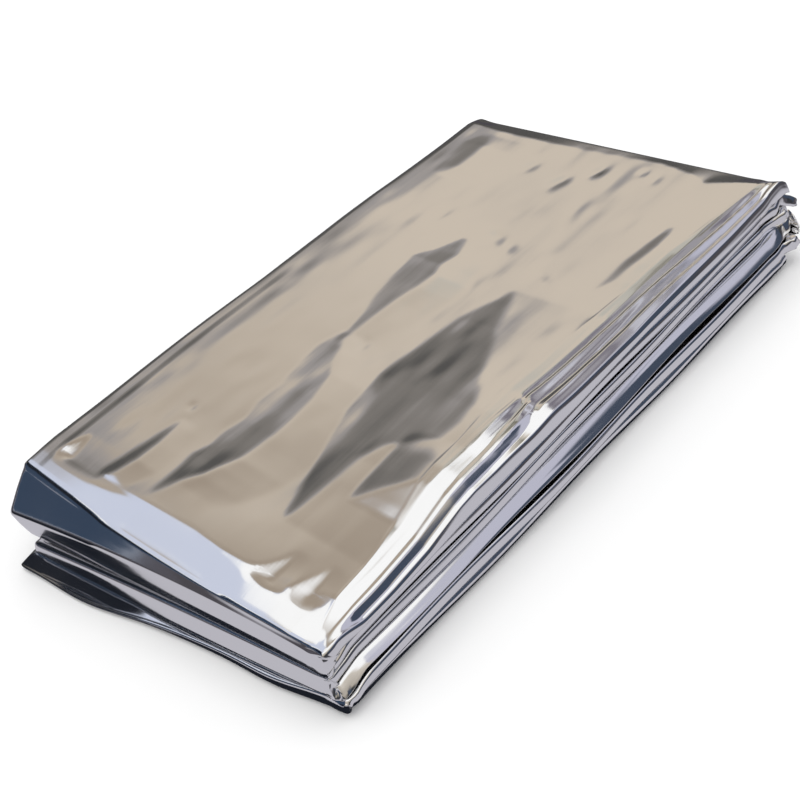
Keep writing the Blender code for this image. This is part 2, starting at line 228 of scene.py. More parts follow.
# Facets of the top layer that lean out of level, each as stations along the pack. From its left edge to
# its right one the film climbs by rise, or sinks where rise is negative, and past the right edge it
# comes back over fall.
Station = namedtuple("Station", "x left right rise")
Facet = namedtuple("Facet", "name fall stations")
TO_THE_RIM = 200.0
FACETS = (
    Facet(
        "long_right",
        TO_THE_RIM,
        (
            Station(17.3, 27.6, 27.0, 0.0),
            Station(22.6, 29.2, 26.2, 0.3),
            Station(30.0, 31.8, 25.1, 0.72),
            Station(36.0, 34.0, 24.6, 0.95),
            Station(41.0, 35.6, 21.8, 1.28),
            Station(47.0, 37.2, 12.5, 2.15),
            Station(52.0, 37.8, 12.0, 2.2),
            Station(57.0, 38.6, 12.8, 2.15),
            Station(62.0, 38.0, 15.8, 1.85),
            Station(68.5, 36.8, 19.6, 1.42),
            Station(74.0, 36.2, 22.5, 1.1),
            Station(79.0, 35.4, 25.5, 0.82),
            Station(84.0, 33.6, 27.0, 0.5),
            Station(88.0, 31.6, 28.4, 0.26),
            Station(92.0, 30.6, 30.2, 0.0),
        ),
    ),
    Facet(
        "beside_long_right",
        TO_THE_RIM,
        (
            Station(27.0, 19.3, 19.0, 0.0),
            Station(32.0, 19.7, 14.5, 0.62),
            Station(36.5, 19.6, 9.5, 1.2),
            Station(41.0, 19.5, 9.5, 1.15),
            Station(47.0, 19.4, 9.5, 0.0),
        ),
    ),
    Facet(
        "long_left",
        12.0,
        (
            Station(7.2, 54.8, 54.4, 0.0),
            Station(12.6, 55.1, 52.0, 0.28),
            Station(16.3, 55.2, 49.2, 0.62),
            Station(20.0, 55.8, 47.2, 0.8),
            Station(23.8, 54.7, 45.4, 0.88),
            Station(28.0, 55.2, 44.6, 0.82),
            Station(32.9, 54.2, 44.0, 0.74),
            Station(38.0, 55.4, 43.8, 0.68),
            Station(44.7, 54.8, 44.4, 0.6),
            Station(51.8, 56.8, 46.6, 0.54),
            Station(58.0, 57.0, 50.6, 0.36),
            Station(62.0, 56.0, 53.2, 0.16),
            Station(64.0, 55.2, 54.8, 0.0),
        ),
    ),
    Facet(
        "behind_long_left",
        9.0,
        (
            Station(60.0, 54.4, 53.8, 0.0),
            Station(64.5, 54.6, 52.8, 0.14),
            Station(71.0, 56.2, 52.0, 0.36),
            Station(77.0, 57.6, 51.2, 0.52),
            Station(83.0, 58.4, 49.6, 0.72),
            Station(88.0, 58.9, 49.0, 0.78),
            Station(92.0, 59.6, 50.2, 0.62),
            Station(96.5, 56.4, 49.6, 0.4),
            Station(100.0, 54.4, 50.6, 0.2),
            Station(103.0, 53.0, 52.2, 0.0),
        ),
    ),
    Facet(
        "near_left",
        6.0,
        (
            Station(4.5, 68.8, 68.4, 0.0),
            Station(7.5, 68.3, 65.6, 0.28),
            Station(12.0, 67.4, 63.9, 0.32),
            Station(18.0, 66.4, 63.8, 0.22),
            Station(24.0, 65.8, 64.6, 0.10),
            Station(26.0, 65.5, 65.3, 0.0),
        ),
    ),
    Facet(
        "first_finger",
        4.6,
        (
            Station(4.0, 24.6, 18.9, 0.0),
            Station(6.0, 24.0, 18.7, -0.44),
            Station(7.5, 22.2, 18.6, -0.4),
            Station(10.0, 20.2, 18.5, -0.22),
            Station(13.2, 18.7, 18.5, 0.0),
        ),
    ),
    Facet(
        "second_finger",
        4.2,
        (
            Station(4.5, 14.2, 10.6, 0.0),
            Station(7.4, 14.0, 10.4, -0.42),
            Station(9.2, 12.9, 10.2, -0.36),
            Station(11.4, 11.8, 10.5, -0.19),
            Station(14.2, 10.9, 10.7, 0.0),
        ),
    ),
    Facet(
        "left_finger",
        24.0,
        (
            Station(3.2, 82.4, 78.0, 0.0),
            Station(5.2, 81.6, 78.1, -0.6),
            Station(7.4, 80.8, 78.3, -0.48),
            Station(9.6, 79.8, 78.5, -0.24),
            Station(11.8, 79.0, 78.8, 0.0),
        ),
    ),
    Facet(
        "far_right",
        7.0,
        (
            Station(98.0, 14.9, 14.4, 0.0),
            Station(103.0, 14.6, 12.2, 0.22),
            Station(110.0, 14.6, 11.4, 0.34),
            Station(116.0, 14.2, 11.0, 0.34),
            Station(120.5, 13.4, 11.4, 0.20),
            Station(124.5, 12.8, 12.4, 0.0),
        ),
    ),
    Facet(
        "far_left",
        14.0,
        (
            Station(121.0, 78.5, 76.0, 0.0),
            Station(125.5, 79.2, 73.8, 0.24),
            Station(131.0, 79.6, 73.2, 0.3),
            Station(136.0, 79.8, 73.6, 0.28),
            Station(141.5, 77.5, 75.0, 0.0),
        ),
    ),
)

# A facet is at least this wide, and bends over this far on each side of its foot and of its crest. Its
# fall bends over a share of its own width.
NARROWEST = 0.1
FOOT_ROUND = 0.4
CREST_ROUND = 1.1
FALL_ROUND = 0.1
MOST_ROUND = 0.4  # no bend takes more than this share of the width on either side

# Small dimples in the top layer
Dimple = namedtuple("Dimple", "name x y length width turn depth")
DIMPLES = (
    Dimple("far_drop", 131.5, 47.0, 2.6, 1.5, -10, 0.20),
    Dimple("far_drop_tail", 128.5, 48.0, 2.4, 1.6, 20, 0.12),
    Dimple("far_dash", 137.9, 41.2, 2.6, 1.3, -15, 0.20),
    Dimple("far_left_dash", 133.5, 57.5, 2.6, 1.4, -10, 0.11),
    Dimple("far_dot", 141.0, 30.5, 1.6, 1.0, -10, 0.10),
    Dimple("far_pair", 139.5, 26.5, 2.4, 1.2, 0, 0.10),
    Dimple("middle_spot", 106.5, 46.0, 3.0, 2.0, 50, 0.20),
    Dimple("middle_spot_tail", 104.8, 41.2, 2.2, 1.4, 30, 0.10),
    Dimple("far_faint", 121.5, 36.0, 7.0, 1.8, 12, 0.10),
    Dimple("middle_faint", 98.8, 28.0, 2.6, 1.0, 60, 0.08),
    Dimple("beside_long_left", 62.5, 48.0, 2.0, 1.0, 20, 0.08),
    Dimple("near_dot", 29.5, 66.5, 1.2, 0.9, 0, 0.10),
)

# The film's own edge shows as a thin step along the left side, up to this length
STEP_Y = 81.6
STEP_WIDTH = 0.6
STEP_END = 78.0
STEP_FADE = 12.0
STEP_HEIGHT = 0.08

# Uneven swells of the film's surface: how high, how far across, and how many times longer along the
# pack than across it
Swell = namedtuple("Swell", "height size stretch seed")
TOP_SWELLS = (
    Swell(0.06, 18.0, 1, 3),
    Swell(0.04, 5.0, 4, 5),
    Swell(0.035, 3.2, 2, 11),
)
TOP_SWELLS_START = 6.0
PLEAT_STREAK = Swell(0.04, 0.9, 20, 9)
PLEAT_STREAK_GROWTH = 4.0  # full a quarter of the way out to the edge
SIDE_STREAK = Swell(0.06, 1.6, 22, 8)
SIDE_TURN = 9.0  # the side streaks' pattern runs this far round the side of each layer
FADE = 10.0  # the top's swells and pleats fade out over this length towards the ends of the pack

# Corners of the pack where the film is crumpled
CrumpledCorner = namedtuple("CrumpledCorner", "name x y reach_x reach_y size amount")
CRUMPLED_CORNERS = (
    CrumpledCorner("far_right", 150.0, -1.0, 12.0, 11.0, 4.2, 2.2),
    CrumpledCorner("near_right", -0.5, -0.5, 6.0, 6.0, 2.4, 0.6),
    CrumpledCorner("far_left", 150.0, 88.0, 7.0, 7.0, 2.8, 0.5),
)
CRUMPLE_RISE = 0.6  # the crumples go this much as far up and down as they go aside
CRUMPLE_SHIFT = 9.0  # how far their pattern moves from one layer to the next
LOWEST = 0.05  # the film stays this far over the surface that the pack lies on
LATTICE = 64  # random heights along each side of a pattern, which repeats past them
LATTICE_START = 20

# Columns (down the section) and rows (across it) of the film's grid. From the column THINNED_FROM,
# past the top layer and its folded near edge, one in THINNING of the broad faces' rows goes on.
TOP_COLUMNS = 216
LIP_COLUMNS = 8
PINCH_COLUMNS = 16
LAYER_COLUMNS = 26
FAR_COLUMNS = 14
FAR_LENGTH = 13.0  # the last part of each lower layer, which has FAR_COLUMNS
CORNER_STEPS = 6
FOLD_STEPS = 16
TOP_ROWS = 100
PLEAT_ROWS = 48
PLEATED = 11.5  # width of the part at the right side that has PLEAT_ROWS
RIM_ROWS = 18
UNDER_ROWS = 16
INNER_ROWS = 4
TURN_ROWS = 4
THINNING = 3
THINNED_FROM = 260

# Places in a layer's thickness: 0 is its underside and 1 its upper face
FREE_EDGE_DEPTH = 0.46
INNER_DEPTHS = (0.4, 0.68)
INNER_TURN = 0.8  # share of the rim that the film's inner turns fill

FILM_COLOUR = (0.93, 0.93, 0.93, 1.0)
ROUGHNESS = (0.07, 0.16)
DULL_PATCHES = (0.35, 0.75)  # the noise values between which the roughness climbs
PATCH_CELLS = (40, 40, 40)  # cells per metre along each axis
PATCH_DETAIL = 2
STREAK_CELLS = (60, 420, 300)
STREAK_DETAIL = 3
STREAK_DEPTH = 0.02
STREAK_STRENGTH = 0.5

CAMERA_FROM_CORNER = (-67.2, -128.5, 169.4)
CAMERA_TURN = (51.624, 13.368, -47.581)  # degrees
CAMERA_LENS = 56.6
CAMERA_SENSOR = 36.0
CAMERA_NEAREST = 0.01  # m


def mix(start, end, share):
    return start + (end - start) * share


def smooth(share):
    share = np.clip(share, 0.0, 1.0)
    return share * share * (3 - 2 * share)


def across(right, middle, left, share):
    """A value given at the right side, the middle and the left side, as a curve through all three."""
    return (
        right * (1 - share) * (1 - 2 * share)
        + middle * 4 * share * (1 - share)
        + left * share * (2 * share - 1)
    )


def pack_height(x, share):
    """The height of the pack's edges, carried across it."""
    along = np.clip(x / PACK_LENGTH, 0.0, 1.0)
    near = mix(HEIGHT_NEAR_RIGHT, HEIGHT_NEAR_LEFT, share)
    far = mix(HEIGHT_FAR_RIGHT, HEIGHT_FAR_LEFT, share)
    return mix(near, far, along)


def level(height_share, x, share):
    """The height of the line between two layers, which waves a little both ways."""
    along = np.sin(WAVE_RATE * x + WAVE_SHIFTS[0] * height_share)
    aside = np.cos(WAVE_TURN * share + WAVE_SHIFTS[1] * height_share)
    wave = WAVE * (along * aside) * smooth(WAVE_GROWTH * height_share)
    return pack_height(x, share) * height_share + wave


def seam_height(place, share):
    """The height at the near end of a place among the seams: 1.5 is half way up the upper pair."""
    below = min(int(place), len(SEAMS) - 2)
    low = across(*SEAMS[below][1:], share)
    high = across(*SEAMS[below + 1][1:], share)
    return mix(low, high, place - below)


def layer_faces(index, x, share):
    """The lower and upper heights of a layer at each place."""
    layer = LAYERS[index]
    low = level(layer.floor_share, x, share) + LAYER_GAP / 2 if layer.floor_share else 0.0 * x
    if index == 0:
        return low, pack_height(x, share)
    high = level(layer.top_share, x, share) - LAYER_GAP / 2
    slack = np.maximum(high - low - LAYER_THICKNESS, 0.0)
    if layer.floor_share:
        low = low + slack / 2
        high = high - slack / 2
    else:
        high = high - slack
    pinch = 1 - smooth(x / mix(PINCH_LENGTH_RIGHT, PINCH_LENGTH_LEFT, share))
    near_low = seam_height(layer.floor_seam, share) + (SEAM_GAP / 2 if layer.floor_seam else 0.0)
    near_high = seam_height(layer.top_seam, share) - SEAM_GAP / 2
    if index >= 4:  # the two layers of the lowest fold
        over = FOLDS[1]
        reach = across(over.reach_right, over.reach_middle, over.reach_left, share)
        droop = DROOP * np.maximum(-x - reach, 0.0)
        near_high = near_high - layer.top_seam * droop
        near_low = near_low - layer.floor_seam * droop
    return mix(low, near_low, pinch), mix(high, near_high, pinch)


def fold_reach(fold, share):
    """How far a fold's upper and lower layers stand out past the pack's short end."""
    upper = across(fold.reach_right, fold.reach_middle, fold.reach_left, share)
    if fold is FOLDS[-1]:
        y = share * PACK_WIDTH
        for belly in BELLIES:
            upper = upper + belly.reach * np.exp(-(((y - belly.middle_y) / belly.half_width) ** 2))
    return upper, upper + across(fold.lean_right, fold.lean_middle, fold.lean_left, share)


def layer_ends(index, share):
    """Where a layer's flat run starts and ends along x, short of the folds that it runs into."""
    near = 0.0 * share
    far = PACK_LENGTH + 0.0 * share
    if index == 0:
        near = near + TOP_START
    if index == 1:
        foot = WEDGE[-1]
        near = across(foot.x_right, foot.x_middle, foot.x_left, share) + SECOND_START
    if index >= 2:
        fold = FOLDS[1 if index < 4 else 3]
        near = fold.depth - fold_reach(fold, share)[index % 2]
    if 1 <= index <= 4:
        fold = FOLDS[0 if index < 3 else 2]
        far = PACK_LENGTH + fold_reach(fold, share)[1 - index % 2] - fold.depth
    if index == 5:
        far = PACK_LENGTH - mix(BOTTOM_SHORT_RIGHT, BOTTOM_SHORT_LEFT, share)
    return near, far


class Run:
    """Columns of the section: a point on either face of the layer, and the place in the stack."""

    def __init__(self, first, second, place):
        self.first = first
        self.second = second
        self.place = place

    def part(self, columns):
        first = [line[:, columns] for line in self.first]
        second = [line[:, columns] for line in self.second]
        return Run(first, second, self.place[columns])


def join_runs(runs):
    first = [np.concatenate([run.first[axis] for run in runs], axis=1) for axis in (0, 1)]
    second = [np.concatenate([run.second[axis] for run in runs], axis=1) for axis in (0, 1)]
    return Run(first, second, np.concatenate([run.place for run in runs]))


def layer_run(index, share):
    """The columns of one layer, in the film's own way along the section."""
    near, far = layer_ends(index, share)
    if index == 0:
        x = mix(near, far, np.linspace(0.0, 1.0, TOP_COLUMNS))
    else:
        bend = PINCH_LENGTH_LEFT + 0.0 * share
        pinched = mix(near, bend, np.linspace(0.0, 1.0, PINCH_COLUMNS, endpoint=False))
        middle = mix(bend, far - FAR_LENGTH, np.linspace(0.0, 1.0, LAYER_COLUMNS, endpoint=False))
        last = mix(far - FAR_LENGTH, far, np.linspace(0.0, 1.0, FAR_COLUMNS))
        x = np.concatenate([pinched, middle, last], axis=1)
    low, high = layer_faces(index, x, share)
    if index == 0:
        lip_x, lip_low, lip_high = far_lip(far, low[:, -1:], high[:, -1:])
        x = np.concatenate([x, lip_x], axis=1)
        low = np.concatenate([low, lip_low], axis=1)
        high = np.concatenate([high, lip_high], axis=1)
    place = np.full(x.shape[1], float(index))
    if index % 2:
        return Run([x, low], [x, high], place)
    return Run([x[:, ::-1], high[:, ::-1]], [x[:, ::-1], low[:, ::-1]], place)


def far_lip(far, low, high):
    """The top layer's far edge, turned down over the fold below it."""
    angles = np.linspace(0.0, math.pi / 2, LIP_COLUMNS)[1:]
    x = far + LIP_REACH * np.sin(angles)
    lip_high = low + LIP_END + (high - low - LIP_END) * np.cos(angles)
    return x, np.minimum(low + 0.0 * x, lip_high - LIP_THINNEST), lip_high


def wedge_run(share):
    """The faceted fold that joins the top layer to the second."""
    lines = [[], [], [], []]
    for corner in WEDGE:
        x = across(corner.x_right, corner.x_middle, corner.x_left, share)
        z = across(corner.z_right, corner.z_middle, corner.z_left, share)
        for line, value in zip(lines, (x, z, x + corner.inward_x, z + corner.inward_z)):
            line.append(value)
    first_x, first_z, second_x, second_z = (np.concatenate(line, axis=1) for line in lines)
    place = np.arange(len(WEDGE)) / len(WEDGE)
    return Run([first_x, first_z], [second_x, second_z], place)


def fold_run(fold, upper, share):
    """A fold from one layer down to the next: rounded outside, and a slot's end inside."""
    end = 0 if fold.near else 1
    outward = -1 if fold.near else 1
    upper_end = layer_ends(upper, share)[end]
    lower_end = layer_ends(upper + 1, share)[end]
    upper_low, upper_high = layer_faces(upper, upper_end, share)
    lower_low, lower_high = layer_faces(upper + 1, lower_end, share)
    outer_middle = (upper_high + lower_low) / 2
    outer_half = (upper_high - lower_low) / 2
    inner_middle = (upper_low + lower_high) / 2
    inner_half = (upper_low - lower_high) / 2
    slot = np.minimum(inner_half, fold.depth * SLOT_SHARE)
    angles = math.pi * np.arange(1, FOLD_STEPS + 1) / (FOLD_STEPS + 1)
    rise = np.sign(np.cos(angles)) * np.abs(np.cos(angles)) ** FOLD_SQUARENESS
    run_out = np.sin(angles) ** FOLD_SQUARENESS
    place = mix(lower_end, upper_end, (1 + rise) / 2)
    outside = [place + outward * fold.depth * run_out, outer_middle + outer_half * rise]
    inside = [place + outward * slot * run_out, inner_middle + inner_half * rise]
    steps = upper + angles / math.pi
    return Run(outside, inside, steps) if fold.near else Run(inside, outside, steps)


def refine(run, count):
    """Adds evenly spaced columns on the straight lines between the run's own."""
    last = run.place.size - 1
    places = np.linspace(0.0, last, last * count + 1)
    before = np.minimum(places.astype(int), last - 1)
    part = places - before

    def spread(line):
        return line[:, before] * (1 - part) + line[:, before + 1] * part

    first = [spread(line) for line in run.first]
    second = [spread(line) for line in run.second]
    return Run(first, second, np.interp(places, np.arange(last + 1), run.place))


def soften(run, start, stop):
    """Rounds the corners of the section a little between two columns."""
    for line in (*run.first, *run.second):
        part = line[:, start - 1 : stop + 1]
        line[:, start:stop] = (part[:, :-2] + 2 * part[:, 1:-1] + part[:, 2:]) / 4


def section(share):
    """The whole section for each row's place across the pack, from the top layer down."""
    top = layer_run(0, share)
    second = layer_run(1, share)
    before = top.part(slice(-1, None))
    after = second.part(slice(0, 1))
    wedge = refine(join_runs([before, wedge_run(share), after]), CORNER_STEPS)
    wedge = wedge.part(slice(1, -1))
    runs = [top, wedge, second]
    for upper, fold in enumerate(FOLDS, start=1):
        runs += [fold_run(fold, upper, share), layer_run(upper + 1, share)]
    whole = join_runs(runs)
    soften(whole, top.place.size, top.place.size + wedge.place.size)
    return whole


def film_rows():
    """Each row's place across the pack, as a share of its width, and its place in the layer's thickness.

    The film starts at the free edge of the outer ply on the left, crosses to the right side, turns
    under, comes back, turns again and ends inside the layer.
    """
    rim = RIM / PACK_WIDTH
    rows = []
    for angle in np.linspace(0.0, math.pi / 2, RIM_ROWS // 2)[:-1]:
        rows.append((1 - rim * (1 - math.cos(angle)), mix(FREE_EDGE_DEPTH, 1.0, math.sin(angle))))
    for step in np.linspace(0, 1, TOP_ROWS, endpoint=False):
        rows.append((mix(1 - rim, PLEATED / PACK_WIDTH, step), 1.0))
    for step in np.linspace(0, 1, PLEAT_ROWS):
        rows.append((mix(PLEATED / PACK_WIDTH, rim, step), 1.0))
    for angle in np.linspace(0.0, math.pi, RIM_ROWS + 2)[1:-1]:
        rows.append((rim * (1 - math.sin(angle)), 0.5 + 0.5 * math.cos(angle)))
    for step in np.linspace(0, 1, UNDER_ROWS):
        rows.append((mix(rim, 1 - rim, step), 0.0))
    lower, upper = INNER_DEPTHS
    rows += inner_turn(1 - rim, INNER_TURN * rim, 0.0, lower)
    for step in np.linspace(0, 1, INNER_ROWS):
        rows.append((mix(1 - rim, 2 * rim, step), lower))
    rows += inner_turn(2 * rim, -INNER_TURN * rim, lower, upper)
    for step in np.linspace(0, 1, INNER_ROWS):
        rows.append((mix(2 * rim, 1 - 2 * rim, step), upper))
    return np.array(rows)


def inner_turn(place, reach, start, end):
    """Rows round a fold inside the layer, from one place in its thickness up to another."""
    angles = np.linspace(0.0, math.pi, TURN_ROWS + 2)[1:-1]
    return [(place + reach * math.sin(a), mix(start, end, (1 - math.cos(a)) / 2)) for a in angles]


def rounding(depth):
    """How far a round side lies inside its outermost line, at each depth in the layer."""
    return RIM * (1 - np.sqrt(np.maximum(1 - (2 * depth - 1) ** 2, 0.0)))


def side_reach(place, depth, x):
    """How far the film stands out past the right and left long sides, at each place in the stack."""
    along = np.clip(x / PACK_LENGTH, 0.0, 1.0)
    upper = np.floor(place).astype(int)
    lower = np.minimum(upper + 1, len(LAYERS) - 1)
    down = place - upper

    def column(table, name):
        values = np.array([getattr(row, name) for row in table])
        return mix(values[upper], values[lower], down)

    right = mix(column(LAYERS, "right_near"), column(LAYERS, "right_far"), along)
    left = mix(column(LAYERS, "left_near"), column(LAYERS, "left_far"), along)
    lean = mix(column(RIGHT_LEANS, "near"), column(RIGHT_LEANS, "far"), along)
    right = right + lean * (0.5 - depth) * np.cos(math.pi * place)
    right = right + column(RIGHT_LEANS, "square") * rounding(depth)
    right = right + swell_height(SIDE_STREAK, x, SIDE_TURN * (place + depth))
    ripple = RIPPLE * np.sin(RIPPLE_RATE * x + RIPPLE_SHIFT * place)
    return right + ripple, left - ripple + LEFT_SWELL * np.sin(math.pi * along)


def random_cells(x, y, size, seed):
    """The place inside its cell of a lattice, and the random heights at the cell's four corners.

    The heights are between -1 and 1 and the same on every run. They are given at the cell's start, one
    step along x, one step along y, and one step along both.
    """
    lattice = np.random.RandomState(seed).uniform(-1, 1, (LATTICE, LATTICE))
    u = x / size + LATTICE_START
    v = y / size + LATTICE_START
    column = np.floor(u).astype(int)
    row = np.floor(v).astype(int)
    i = column % (LATTICE - 1)
    j = row % (LATTICE - 1)
    corners = lattice[i, j], lattice[i + 1, j], lattice[i, j + 1], lattice[i + 1, j + 1]
    return (u - column, v - row), corners


def swell_height(swell, x, y):
    """The random heights of a swell, blended smoothly inside each cell."""
    (along, aside), (start, on_x, on_y, on_both) = random_cells(
        x / swell.stretch, y, swell.size, swell.seed
    )
    low = mix(start, on_x, smooth(along))
    high = mix(on_y, on_both, smooth(along))
    return swell.height * mix(low, high, smooth(aside))


def strip_value(strips, place, name="width"):
    """One of a strip's values at a place along it, on straight lines between the table's rows."""
    return np.interp(place, [row.at for row in strips], [getattr(row, name) for row in strips])


def near_rise(x, y):
    """The share of the crown that the top layer has reached, from its near end on."""
    width = strip_value(NEAR_STRIP, y)
    start = strip_value(NEAR_STRIP, y, "start")
    inward = (x - TOP_START) / (width - TOP_START)
    return np.clip(mix(start, 1.0, inward), 0.0, 1.0)


def facet_height(facet, x, y):
    """The climb from a facet's left edge to its right one, and the fall past it."""
    table = np.array(facet.stations)
    left, right, rise = (np.interp(x, table[:, 0], table[:, column]) for column in (1, 2, 3))
    width = np.maximum(left - right, NARROWEST)
    climb = rounded_ramp((left - y) / width, FOOT_ROUND / width, CREST_ROUND / width)
    sink = 1 - rounded_ramp((right - y) / facet.fall, FALL_ROUND, FALL_ROUND)
    return rise * climb * sink


def rounded_ramp(place, foot, crest):
    """0 up to 0, 1 from 1 on, and a straight climb between them that bends over foot and crest."""
    foot = np.minimum(foot, MOST_ROUND)
    crest = np.minimum(crest, MOST_ROUND)
    start = np.clip(place + foot, 0.0, 2 * foot) ** 2 / (4 * foot)
    end = np.clip(1 + crest - place, 0.0, 2 * crest) ** 2 / (4 * crest)
    climb = np.where(place < foot, start, place)
    return np.where(place > 1 - crest, 1 - end, climb)


def dimple_depth(dimple, x, y):
    turn = math.radians(dimple.turn)
    along = (x - dimple.x) * math.cos(turn) + (y - dimple.y) * math.sin(turn)
    aside = (y - dimple.y) * math.cos(turn) - (x - dimple.x) * math.sin(turn)
    return dimple.depth * np.exp(-((along / dimple.length) ** 2) - (aside / dimple.width) ** 2)


def pleat_drop(x, y):
    """How far the right strip lies under the top, and its share of the way out to the edge."""
    table = np.array(PLEATS)
    places = [np.interp(x, table[:, 0], table[:, column]) for column in range(1, table.shape[1])]
    places.append(0.0 * x)
    past = smooth((x - DROPS_CHANGE[0]) / (DROPS_CHANGE[1] - DROPS_CHANGE[0]))
    drops = [mix(near, far, past) for near, far in zip(NEAR_DROPS, FAR_DROPS)]
    drop = 0.0 * x * y
    for inner, outer, above, below in zip(places, places[1:], drops, drops[1:]):
        drop = drop + (below - above) * np.clip((inner - y) / (inner - outer), 0.0, 1.0)
    return drop, np.clip(1 - y / places[0], 0.0, 1.0)


def top_relief(x, y):
    """The top layer's height over the straight lines between its edges."""
    near = near_rise(x, y)
    far = np.clip((PACK_LENGTH - x) / strip_value(FAR_STRIP, y), 0.0, 1.0)
    drop, outward = pleat_drop(x, y)
    left = np.clip((PACK_WIDTH - y) / strip_value(LEFT_STRIP, x), 0.0, 1.0)
    dish = np.sin(math.pi * y / PACK_WIDTH) ** 2 * smooth((x - TOP_START) / DISH_START)
    relief = CROWN - DISH * dish
    relief = relief + sum(facet_height(facet, x, y) for facet in FACETS)
    relief = relief - sum(dimple_depth(dimple, x, y) for dimple in DIMPLES)
    uneven = sum(swell_height(swell, x, y) for swell in TOP_SWELLS)
    relief = relief + uneven * smooth((x - TOP_SWELLS_START) / FADE)
    step = np.clip((y - STEP_Y) / STEP_WIDTH, 0, 1) * smooth((STEP_END - x) / STEP_FADE)
    relief = relief - STEP_HEIGHT * step
    drop = drop - swell_height(PLEAT_STREAK, x, y) * smooth(PLEAT_STREAK_GROWTH * outward)
    drop = drop * smooth(x / FADE) * smooth((PACK_LENGTH - x) / FADE)
    return (relief - drop) * near * far * left


def crumple(x, y, place, size, seed):
    """Flat triangular facets about size across, between -1 and 1 high, which differ between layers."""
    shift = CRUMPLE_SHIFT * place
    (along, aside), (start, on_x, on_y, on_both) = random_cells(x + shift, y - shift, size, seed)
    corner = np.where(along > aside, on_x, on_y)
    first = np.maximum(along, aside)
    second = np.minimum(along, aside)
    return start * (1 - first) + corner * (first - second) + on_both * second


def corner_mask(corner, x, y):
    """1 at the crumpled corner itself, fading to 0 at its reach."""
    return smooth(1 - np.hypot((x - corner.x) / corner.reach_x, (y - corner.y) / corner.reach_y))


def film_points():
    """The film's grid: x, y and z of each row's points, in the pack's own millimetres."""
    rows = film_rows()
    share = rows[:, :1]
    depth = rows[:, 1:]
    run = section(share)
    x = mix(run.second[0], run.first[0], depth)
    z = mix(run.second[1], run.first[1], depth)
    right, left = side_reach(run.place, depth, x)
    y = mix(-right, PACK_WIDTH + left, share)
    on_top = (run.place < 0.01) * np.ones_like(x)
    flat = RIGHT_LEANS[0].square * rounding(depth)
    z = z + top_relief(x, share * PACK_WIDTH - flat * (1 - share)) * on_top * depth
    for number, corner in enumerate(CRUMPLED_CORNERS):
        amount = corner.amount * corner_mask(corner, x, y)
        dents = [
            amount * crumple(x, y, run.place, corner.size, 10 * number + axis) for axis in range(3)
        ]
        x = x + dents[0]
        y = y + dents[1]
        z = np.maximum(z + CRUMPLE_RISE * dents[2], LOWEST)
    return x, y, z


def cell_faces(index):
    """A face for each cell of a grid of point numbers."""
    corners = [index[:-1, :-1], index[:-1, 1:], index[1:, 1:], index[1:, :-1]]
    return np.stack(corners, axis=-1).reshape(-1, 4).tolist()


def grid_faces(rows, columns, thin_from, kept):
    """Faces between the grid's points. Past the column thin_from, only the kept rows go on."""
    index = np.arange(rows * columns).reshape(rows, columns)
    faces = cell_faces(index[:, : thin_from + 1])
    for first, last in zip(kept[:-1], kept[1:]):
        coarse_side = index[[first, last], thin_from + 1].tolist()
        fine_side = index[first : last + 1, thin_from][::-1].tolist()
        faces.append(coarse_side + fine_side)
    return faces + cell_faces(index[kept, thin_from + 1 :])


def pack_corner():
    """Where the pack's near right corner is in the scene, in metres."""
    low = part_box(NODE)[0]
    return low.x + NEAR_OVERHANG * MM, low.y + RIGHT_OVERHANG * MM, 0.0


def make_film():
    """The film, as one sheet with the points that no face uses left out."""
    x, y, z = film_points()
    points = np.stack([x, y, z], axis=-1) * MM
    points += np.array(pack_corner())
    first_row = RIM_ROWS // 2 - 1
    broad = range(first_row, first_row + TOP_ROWS + PLEAT_ROWS)
    thinned = set(broad) - set(broad[::THINNING])
    kept = [row for row in range(x.shape[0]) if row not in thinned]
    faces = grid_faces(*x.shape, THINNED_FROM, kept)
    mesh = bpy.data.meshes.new("blanket_film")
    mesh.from_pydata(points.reshape(-1, 3).tolist(), [], faces)
    editing = bmesh.new()
    editing.from_mesh(mesh)
    loose = [point for point in editing.verts if not point.link_faces]
    bmesh.ops.delete(editing, geom=loose, context="VERTS")
    editing.to_mesh(mesh)
    editing.free()
    mesh.shade_smooth()
    film = bpy.data.objects.new("blanket_film", mesh)
    bpy.context.scene.collection.objects.link(film)
    film.data.materials.append(film_material())
    return film


def film_material():
    """Aluminium on thin film: a mirror with fine lengthwise streaks and slight dulling in patches."""
    material = bpy.data.materials.new("metallised_film")
    material.use_nodes = True
    node_tree = material.node_tree
    shader = node_tree.nodes["Principled BSDF"]
    shader.inputs["Metallic"].default_value = 1.0
    shader.inputs["Base Color"].default_value = FILM_COLOUR
    place = node_tree.nodes.new("ShaderNodeTexCoord").outputs["Object"]
    streaks = noise(node_tree, place, STREAK_CELLS, STREAK_DETAIL)
    patches = noise(node_tree, place, PATCH_CELLS, PATCH_DETAIL)
    dulling = node_tree.nodes.new("ShaderNodeMapRange")
    node_tree.links.new(patches, dulling.inputs["Value"])
    dulling.inputs["From Min"].default_value = DULL_PATCHES[0]
    dulling.inputs["From Max"].default_value = DULL_PATCHES[1]
    dulling.inputs["To Min"].default_value = ROUGHNESS[0]
    dulling.inputs["To Max"].default_value = ROUGHNESS[1]
    node_tree.links.new(dulling.outputs[0], shader.inputs["Roughness"])
    bump = node_tree.nodes.new("ShaderNodeBump")
    bump.inputs["Strength"].default_value = STREAK_STRENGTH
    bump.inputs["Distance"].default_value = STREAK_DEPTH * MM
    node_tree.links.new(streaks, bump.inputs["Height"])
    node_tree.links.new(bump.outputs[0], shader.inputs["Normal"])
    return material


